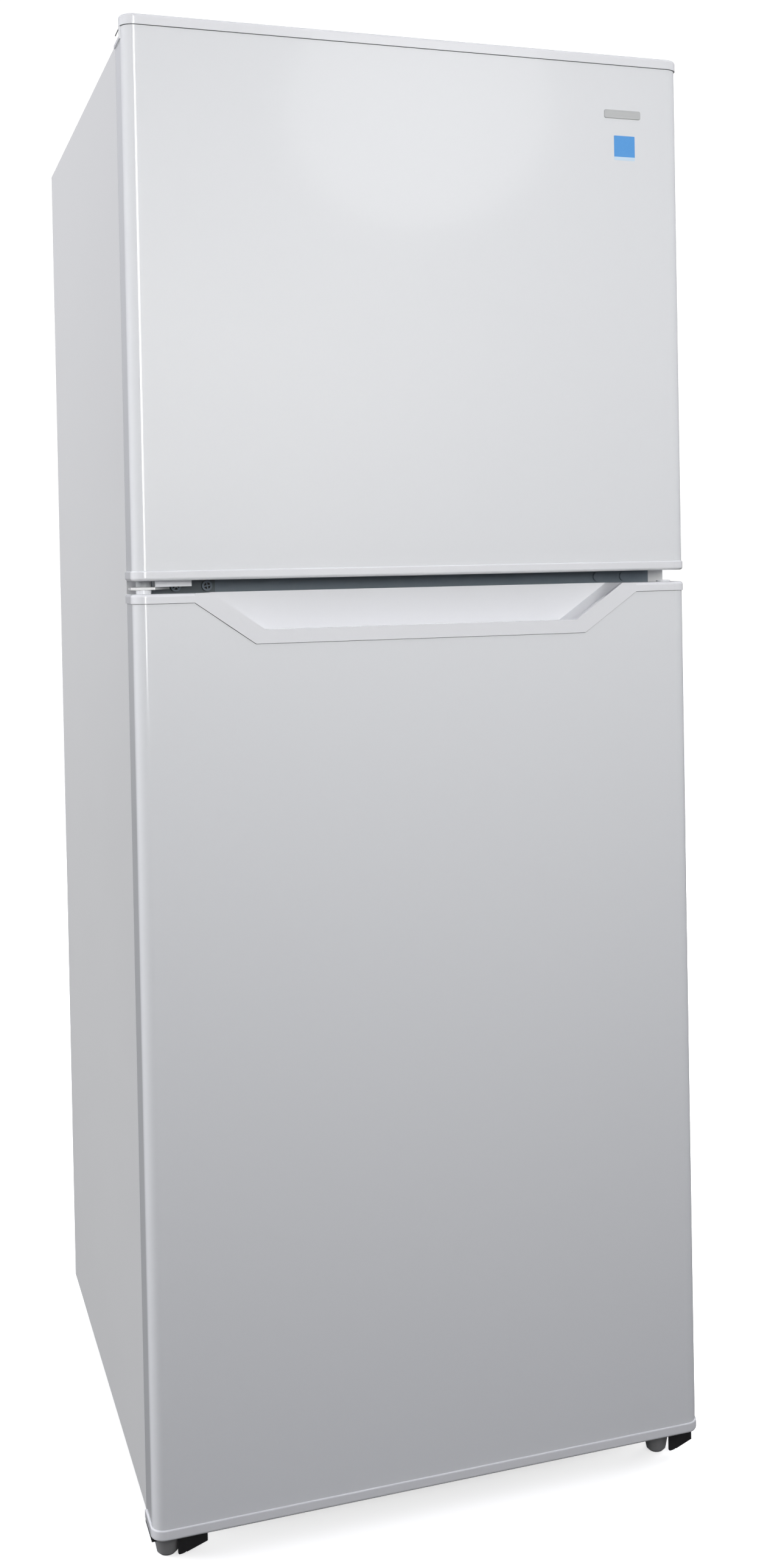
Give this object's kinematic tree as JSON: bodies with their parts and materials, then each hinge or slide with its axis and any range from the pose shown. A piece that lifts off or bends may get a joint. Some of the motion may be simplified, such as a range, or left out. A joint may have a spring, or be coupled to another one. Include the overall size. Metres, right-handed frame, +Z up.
{
  "type": "top freezer refrigerator",
  "caption": "Upright top freezer refrigerator with left-hung doors, a pocket handle along the lower door's top edge, levelling feet, rear rollers and a fitted interior.",
  "frame": {"origin": "on the floor under the middle of the refrigerator's bounding box", "axes": "+X to the viewer's right, +Y from the doors to the back, +Z up"},
  "size_m": [0.595, 0.664, 1.516],
  "materials": {
    "white_paint": "smooth gloss white enamel on sheet steel",
    "cabinet_paint": "satin white enamel on sheet steel",
    "white_moulding": "gloss white moulded plastic",
    "liner_white": "vacuum-formed white plastic",
    "clear_tray": "clear moulded plastic",
    "shelf_glass": "tempered glass",
    "seal_rubber": "soft light grey seal",
    "foam_core": "rigid insulating foam",
    "dark_paint": "dark blue-grey painted steel",
    "black_paint": "black painted steel",
    "zinc": "bright zinc plated steel",
    "galvanised": "galvanised sheet steel",
    "foot_plastic": "dark grey moulded plastic",
    "grey_plastic": "grey moulded plastic",
    "black_plastic": "black moulded plastic",
    "grommet_rubber": "black rubber",
    "copper_pipe": "copper pipe",
    "coil_aluminium": "aluminium fins and tube",
    "wire_white": "white plastic coated wire",
    "lens_clear": "frosted clear plastic"
  },
  "bodies": {
    "cabinet": {"cabinet_shell": "cabinet_paint", "back_panel": "galvanised", "base_frame": "galvanised", "compressor_bay_panel": "galvanised", "cabinet_foam": "foam_core", "freezer_liner": "liner_white", "refrigerator_liner": "liner_white", "mullion_bar": "dark_paint", "top_hinge": "white_paint", "top_hinge_cover": "white_moulding", "middle_hinge": "zinc", "bottom_hinge": "black_paint", "foot_bracket": "black_paint", "cabinet_screws": "dark_paint", "hole_plugs": "dark_paint", "compressor": "black_paint", "compressor_grommets": "grommet_rubber", "start_relay": "black_plastic", "refrigerant_pipes": "copper_pipe", "drip_pan": "grey_plastic", "rear_cover": "black_plastic", "cord_inlet": "black_plastic", "roller_axles": "zinc", "evaporator_cover": "liner_white", "evaporator_coil": "coil_aluminium", "fan_motor": "black_plastic", "freezer_shelf": "wire_white", "control_box": "white_moulding", "lamp": "lens_clear", "lamp_lens": "lens_clear", "light_switch_housing": "white_moulding", "refrigerator_shelves": "shelf_glass", "crisper_cover": "shelf_glass"},
    "freezer_door": {"freezer_door_skin": "white_paint", "freezer_door_foam": "foam_core", "freezer_door_liner": "liner_white", "freezer_door_gasket": "seal_rubber", "freezer_door_top_cap": "white_moulding", "freezer_door_bottom_cap": "white_moulding", "freezer_door_bins": "clear_tray", "freezer_door_bushes": "grey_plastic", "freezer_door_stop": "white_moulding"},
    "refrigerator_door": {"refrigerator_door_skin": "white_paint", "refrigerator_door_foam": "foam_core", "refrigerator_door_liner": "liner_white", "refrigerator_door_gasket": "seal_rubber", "refrigerator_door_bottom_cap": "white_moulding", "refrigerator_door_bins": "clear_tray", "refrigerator_door_bushes": "white_moulding", "handle_trim": "white_moulding", "hinge_hole_plug": "white_moulding"},
    "crisper_drawer": {"crisper_drawer": "clear_tray"},
    "thermostat_dial": {"thermostat_dial": "grey_plastic"},
    "airflow_knob": {"airflow_knob": "grey_plastic"},
    "light_switch_plunger": {"light_switch_plunger": "white_moulding"},
    "evaporator_fan": {"evaporator_fan": "black_plastic"},
    "levelling_foot_left": {"levelling_foot_left": "foot_plastic"},
    "levelling_foot_right": {"levelling_foot_right": "foot_plastic"},
    "rear_roller_left": {"rear_roller_left": "black_plastic"},
    "rear_roller_right": {"rear_roller_right": "black_plastic"}
  },
  "joints": [
    {"name": "freezer_door_hinge", "type": "hinge", "parent": "cabinet", "child": "freezer_door", "pos_m": [-0.2825, -0.304, 1.23], "axis": [0, 0, -1], "range_deg": [0, 120]},
    {"name": "refrigerator_door_hinge", "type": "hinge", "parent": "cabinet", "child": "refrigerator_door", "pos_m": [-0.2825, -0.304, 0.49], "axis": [0, 0, -1], "range_deg": [0, 120]},
    {"name": "crisper_drawer_slide", "type": "slide", "parent": "cabinet", "child": "crisper_drawer", "axis": [0, -1, 0], "range_m": [0, 0.03]},
    {"name": "thermostat_turn", "type": "hinge", "parent": "cabinet", "child": "thermostat_dial", "pos_m": [0.078, 0.023, 0.91035], "axis": [0, -1, 0], "range_deg": [0, 270]},
    {"name": "airflow_turn", "type": "hinge", "parent": "cabinet", "child": "airflow_knob", "pos_m": [0.15, 0.212, 1.18535], "axis": [0, -1, 0], "range_deg": [-120, 120]},
    {"name": "light_switch_push", "type": "slide", "parent": "cabinet", "child": "light_switch_plunger", "axis": [0, -1, 0], "range_m": [0, 0.006]},
    {"name": "evaporator_fan_spin", "type": "hinge", "parent": "cabinet", "child": "evaporator_fan", "pos_m": [0, 0.2275, 1.333], "axis": [0, -1, 0], "continuous": true},
    {"name": "left_foot_screw", "type": "hinge", "parent": "cabinet", "child": "levelling_foot_left", "pos_m": [-0.2775, -0.295, 0.01], "axis": [0, 0, 1], "continuous": true},
    {"name": "right_foot_screw", "type": "hinge", "parent": "cabinet", "child": "levelling_foot_right", "pos_m": [0.261, -0.295, 0.01], "axis": [0, 0, 1], "continuous": true},
    {"name": "left_roller_spin", "type": "hinge", "parent": "cabinet", "child": "rear_roller_left", "pos_m": [-0.262, 0.281, 0.016], "axis": [1, 0, 0], "continuous": true},
    {"name": "right_roller_spin", "type": "hinge", "parent": "cabinet", "child": "rear_roller_right", "pos_m": [0.262, 0.281, 0.016], "axis": [1, 0, 0], "continuous": true}
  ],
  "couplings": [
    {"joint": "light_switch_push", "follows": "refrigerator_door_hinge", "m_per_rad": 0.00286}
  ]
}
